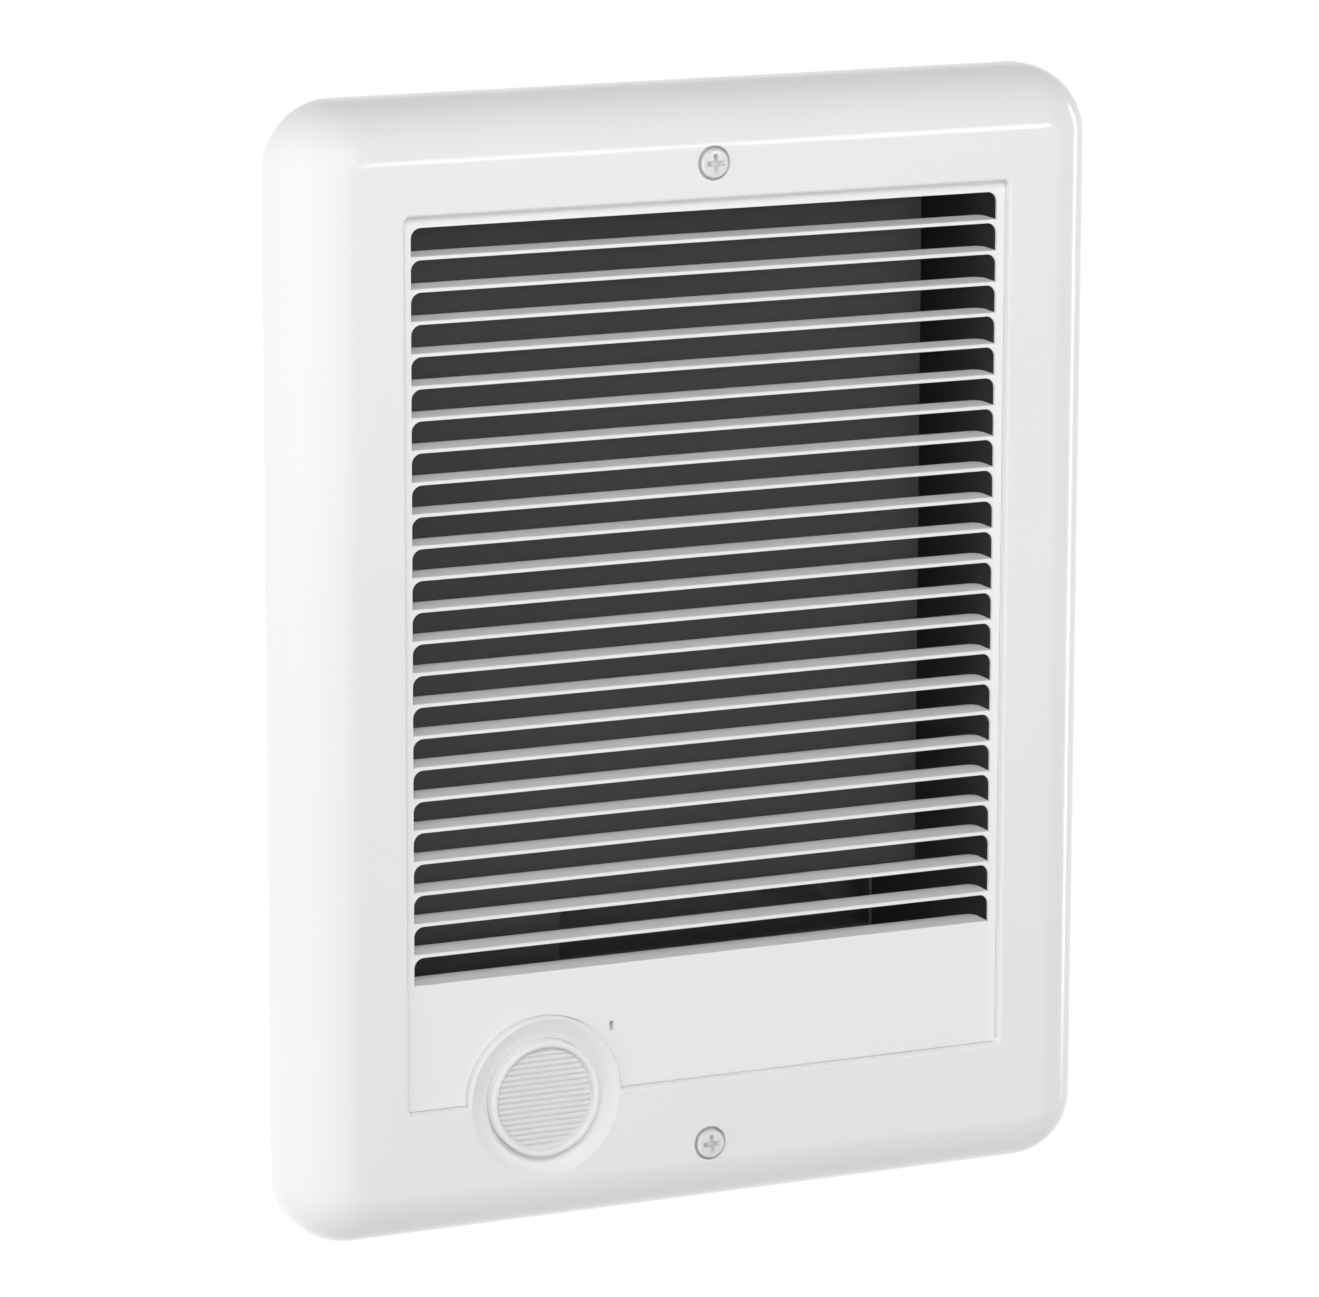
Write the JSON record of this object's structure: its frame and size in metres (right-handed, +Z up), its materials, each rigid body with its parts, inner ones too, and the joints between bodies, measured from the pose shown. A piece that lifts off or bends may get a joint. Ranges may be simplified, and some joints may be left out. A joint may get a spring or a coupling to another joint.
{
  "type": "fan convector heater",
  "caption": "Compact in-wall electric fan heater: white louvred grille with rounded rim and corner thermostat knob, over a wall can that holds a blower and an open-coil element.",
  "frame": {"origin": "centre of the wall plane, where the grille frame's rear rim meets the wall", "axes": "+X to the right seen from the front, +Y back into the wall, +Z up"},
  "size_m": [0.236, 0.1203, 0.305],
  "materials": {
    "frame_white": "smooth moulded white, satin gloss",
    "panel_white": "white powder coat on stamped sheet",
    "knob_white": "moulded white with fine ribs",
    "screw_steel": "bright plated steel",
    "zinc_steel": "zinc plated",
    "galvanised": "galvanised sheet with spangle",
    "deck_dark": "dark grey paint",
    "outlet_grey": "pale grey heat-proof coat",
    "spring_steel": "spring steel",
    "ground_green": "green dyed screw",
    "lamination": "stacked laminations, oiled",
    "bobbin_plastic": "moulded nylon",
    "copper": "enamelled copper wire",
    "bronze": "sintered bronze",
    "brass": "turned brass",
    "ground_steel": "ground steel",
    "wheel_aluminium": "rolled sheet",
    "mica": "mica board",
    "resistance_wire": "oxidised resistance wire",
    "steatite": "fired steatite",
    "phenolic": "black phenolic",
    "phenolic_brown": "brown phenolic",
    "button_red": "moulded red",
    "capillary_copper": "drawn copper tube",
    "connector_tan": "moulded tan",
    "lead_black": "black insulation",
    "lead_red": "red insulation",
    "lead_green": "green insulation"
  },
  "bodies": {
    "housing": {"grille_frame": "frame_white", "louvre_panel": "panel_white", "panel_clips": "spring_steel", "grille_screws": "screw_steel", "clip_nuts": "zinc_steel", "wall_can": "galvanised", "ground_screw": "ground_green", "chassis_deck": "deck_dark", "deck_screws": "zinc_steel", "scroll_wrapper": "galvanised", "scroll_end_motor": "galvanised", "scroll_end_inlet": "galvanised", "stator_core": "lamination", "coil_bobbin": "bobbin_plastic", "coil_winding": "copper", "shading_rings": "copper", "bearing_bracket_inner": "zinc_steel", "bearing_bracket_outer": "zinc_steel", "sleeve_bearings": "bronze", "motor_spacers": "zinc_steel", "motor_bolts": "zinc_steel", "motor_nuts": "zinc_steel", "element_frame": "galvanised", "coil_supports": "mica", "heating_coils": "resistance_wire", "element_terminals": "steatite", "air_deflector": "outlet_grey", "limit_switch": "phenolic", "limit_screws": "zinc_steel", "limit_capillary": "capillary_copper", "thermostat_body": "phenolic_brown", "thermostat_bracket": "zinc_steel", "thermostat_nut": "zinc_steel", "thermostat_terminals": "brass", "wire_connectors": "connector_tan", "lead_line": "lead_black", "lead_limit": "lead_black", "lead_element": "lead_red", "lead_return": "lead_red", "lead_motor": "lead_black", "lead_ground": "lead_green"},
    "blower": {"motor_shaft": "ground_steel", "rotor": "lamination", "wheel_disc": "wheel_aluminium", "wheel_blades": "wheel_aluminium", "wheel_ring": "wheel_aluminium", "hub_set_screw": "phenolic"},
    "knob": {"knob": "knob_white", "knob_clip": "spring_steel", "thermostat_spindle": "brass"},
    "reset": {"reset_button": "button_red"}
  },
  "joints": [
    {"name": "blower_spin", "type": "hinge", "parent": "housing", "child": "blower", "pos_m": [0.015, 0.0445, 0.045], "axis": [-1, 0, 0], "continuous": true},
    {"name": "knob_turn", "type": "hinge", "parent": "housing", "child": "knob", "pos_m": [-0.0485, -0.022, -0.115], "axis": [0, 1, 0], "range_deg": [0, 270]},
    {"name": "reset_press", "type": "slide", "parent": "housing", "child": "reset", "axis": [0, 1, 0], "range_m": [0, 0.0015], "stiffness_N_per_m": 800}
  ]
}
